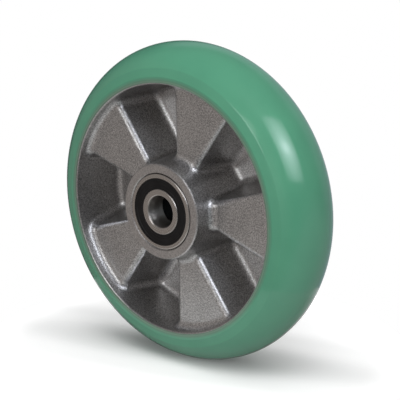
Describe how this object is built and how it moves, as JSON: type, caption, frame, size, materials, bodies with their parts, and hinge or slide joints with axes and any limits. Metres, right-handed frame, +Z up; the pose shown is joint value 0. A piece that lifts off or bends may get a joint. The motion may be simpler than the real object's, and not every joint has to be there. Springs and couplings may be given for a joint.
{
  "type": "polyurethane wheel",
  "caption": "Wheel with a rounded polyurethane tread cast onto a five-pad die-cast aluminium core, turning on two sealed deep-groove ball bearings with a spacer tube between them.",
  "frame": {"origin": "the wheel's centre, on the axle line and in the middle of the tread's width", "axes": "+Y along the axle towards the rear, -Y towards the front side that the picture shows, +Z up"},
  "size_m": [0.2, 0.06, 0.2],
  "materials": {
    "cast_aluminium": "satin",
    "polyurethane": "satin",
    "bearing_steel": "satin",
    "seal_rubber": "matte",
    "spacer_steel": "satin",
    "cage_steel": "satin",
    "ball_steel": "polished"
  },
  "bodies": {
    "axle_sleeve": {"front_inner_ring": "bearing_steel", "axle_spacer": "spacer_steel", "rear_inner_ring": "bearing_steel"},
    "wheel": {"rim": "cast_aluminium", "tread": "polyurethane", "front_outer_ring": "bearing_steel", "rear_outer_ring": "bearing_steel", "front_outer_seal": "seal_rubber", "front_inner_seal": "seal_rubber", "rear_outer_seal": "seal_rubber", "rear_inner_seal": "seal_rubber"},
    "front_cage": {"front_outer_cage_half": "cage_steel", "front_inner_cage_half": "cage_steel", "front_cage_rivets": "cage_steel"},
    "rear_cage": {"rear_outer_cage_half": "cage_steel", "rear_inner_cage_half": "cage_steel", "rear_cage_rivets": "cage_steel"},
    "front_ball_1": {"front_ball_1": "ball_steel"},
    "front_ball_2": {"front_ball_2": "ball_steel"},
    "front_ball_3": {"front_ball_3": "ball_steel"},
    "front_ball_4": {"front_ball_4": "ball_steel"},
    "front_ball_5": {"front_ball_5": "ball_steel"},
    "front_ball_6": {"front_ball_6": "ball_steel"},
    "front_ball_7": {"front_ball_7": "ball_steel"},
    "front_ball_8": {"front_ball_8": "ball_steel"},
    "rear_ball_1": {"rear_ball_1": "ball_steel"},
    "rear_ball_2": {"rear_ball_2": "ball_steel"},
    "rear_ball_3": {"rear_ball_3": "ball_steel"},
    "rear_ball_4": {"rear_ball_4": "ball_steel"},
    "rear_ball_5": {"rear_ball_5": "ball_steel"},
    "rear_ball_6": {"rear_ball_6": "ball_steel"},
    "rear_ball_7": {"rear_ball_7": "ball_steel"},
    "rear_ball_8": {"rear_ball_8": "ball_steel"}
  },
  "joints": [
    {"name": "wheel_spin", "type": "hinge", "parent": "axle_sleeve", "child": "wheel", "pos_m": [0, 0, 0], "axis": [0, 1, 0], "continuous": true},
    {"name": "front_cage_spin", "type": "hinge", "parent": "axle_sleeve", "child": "front_cage", "pos_m": [0, -0.023, 0], "axis": [0, 1, 0], "continuous": true},
    {"name": "rear_cage_spin", "type": "hinge", "parent": "axle_sleeve", "child": "rear_cage", "pos_m": [0, 0.023, 0], "axis": [0, 1, 0], "continuous": true},
    {"name": "front_ball_1_roll", "type": "hinge", "parent": "front_cage", "child": "front_ball_1", "pos_m": [0.01675, -0.023, 0], "axis": [0, 1, 0], "continuous": true},
    {"name": "front_ball_2_roll", "type": "hinge", "parent": "front_cage", "child": "front_ball_2", "pos_m": [0.01184, -0.023, -0.01184], "axis": [0, 1, 0], "continuous": true},
    {"name": "front_ball_3_roll", "type": "hinge", "parent": "front_cage", "child": "front_ball_3", "pos_m": [0, -0.023, -0.01675], "axis": [0, 1, 0], "continuous": true},
    {"name": "front_ball_4_roll", "type": "hinge", "parent": "front_cage", "child": "front_ball_4", "pos_m": [-0.01184, -0.023, -0.01184], "axis": [0, 1, 0], "continuous": true},
    {"name": "front_ball_5_roll", "type": "hinge", "parent": "front_cage", "child": "front_ball_5", "pos_m": [-0.01675, -0.023, 0], "axis": [0, 1, 0], "continuous": true},
    {"name": "front_ball_6_roll", "type": "hinge", "parent": "front_cage", "child": "front_ball_6", "pos_m": [-0.01184, -0.023, 0.01184], "axis": [0, 1, 0], "continuous": true},
    {"name": "front_ball_7_roll", "type": "hinge", "parent": "front_cage", "child": "front_ball_7", "pos_m": [0, -0.023, 0.01675], "axis": [0, 1, 0], "continuous": true},
    {"name": "front_ball_8_roll", "type": "hinge", "parent": "front_cage", "child": "front_ball_8", "pos_m": [0.01184, -0.023, 0.01184], "axis": [0, 1, 0], "continuous": true},
    {"name": "rear_ball_1_roll", "type": "hinge", "parent": "rear_cage", "child": "rear_ball_1", "pos_m": [0.01675, 0.023, 0], "axis": [0, 1, 0], "continuous": true},
    {"name": "rear_ball_2_roll", "type": "hinge", "parent": "rear_cage", "child": "rear_ball_2", "pos_m": [0.01184, 0.023, 0.01184], "axis": [0, 1, 0], "continuous": true},
    {"name": "rear_ball_3_roll", "type": "hinge", "parent": "rear_cage", "child": "rear_ball_3", "pos_m": [0, 0.023, 0.01675], "axis": [0, 1, 0], "continuous": true},
    {"name": "rear_ball_4_roll", "type": "hinge", "parent": "rear_cage", "child": "rear_ball_4", "pos_m": [-0.01184, 0.023, 0.01184], "axis": [0, 1, 0], "continuous": true},
    {"name": "rear_ball_5_roll", "type": "hinge", "parent": "rear_cage", "child": "rear_ball_5", "pos_m": [-0.01675, 0.023, 0], "axis": [0, 1, 0], "continuous": true},
    {"name": "rear_ball_6_roll", "type": "hinge", "parent": "rear_cage", "child": "rear_ball_6", "pos_m": [-0.01184, 0.023, -0.01184], "axis": [0, 1, 0], "continuous": true},
    {"name": "rear_ball_7_roll", "type": "hinge", "parent": "rear_cage", "child": "rear_ball_7", "pos_m": [0, 0.023, -0.01675], "axis": [0, 1, 0], "continuous": true},
    {"name": "rear_ball_8_roll", "type": "hinge", "parent": "rear_cage", "child": "rear_ball_8", "pos_m": [0.01184, 0.023, -0.01184], "axis": [0, 1, 0], "continuous": true}
  ],
  "couplings": [
    {"joint": "front_cage_spin", "follows": "wheel_spin", "ratio": 0.61848},
    {"joint": "rear_cage_spin", "follows": "wheel_spin", "ratio": 0.61848},
    {"joint": "front_ball_1_roll", "follows": "wheel_spin", "ratio": 1.9916},
    {"joint": "front_ball_2_roll", "follows": "wheel_spin", "ratio": 1.9916},
    {"joint": "front_ball_3_roll", "follows": "wheel_spin", "ratio": 1.9916},
    {"joint": "front_ball_4_roll", "follows": "wheel_spin", "ratio": 1.9916},
    {"joint": "front_ball_5_roll", "follows": "wheel_spin", "ratio": 1.9916},
    {"joint": "front_ball_6_roll", "follows": "wheel_spin", "ratio": 1.9916},
    {"joint": "front_ball_7_roll", "follows": "wheel_spin", "ratio": 1.9916},
    {"joint": "front_ball_8_roll", "follows": "wheel_spin", "ratio": 1.9916},
    {"joint": "rear_ball_1_roll", "follows": "wheel_spin", "ratio": 1.9916},
    {"joint": "rear_ball_2_roll", "follows": "wheel_spin", "ratio": 1.9916},
    {"joint": "rear_ball_3_roll", "follows": "wheel_spin", "ratio": 1.9916},
    {"joint": "rear_ball_4_roll", "follows": "wheel_spin", "ratio": 1.9916},
    {"joint": "rear_ball_5_roll", "follows": "wheel_spin", "ratio": 1.9916},
    {"joint": "rear_ball_6_roll", "follows": "wheel_spin", "ratio": 1.9916},
    {"joint": "rear_ball_7_roll", "follows": "wheel_spin", "ratio": 1.9916},
    {"joint": "rear_ball_8_roll", "follows": "wheel_spin", "ratio": 1.9916}
  ]
}
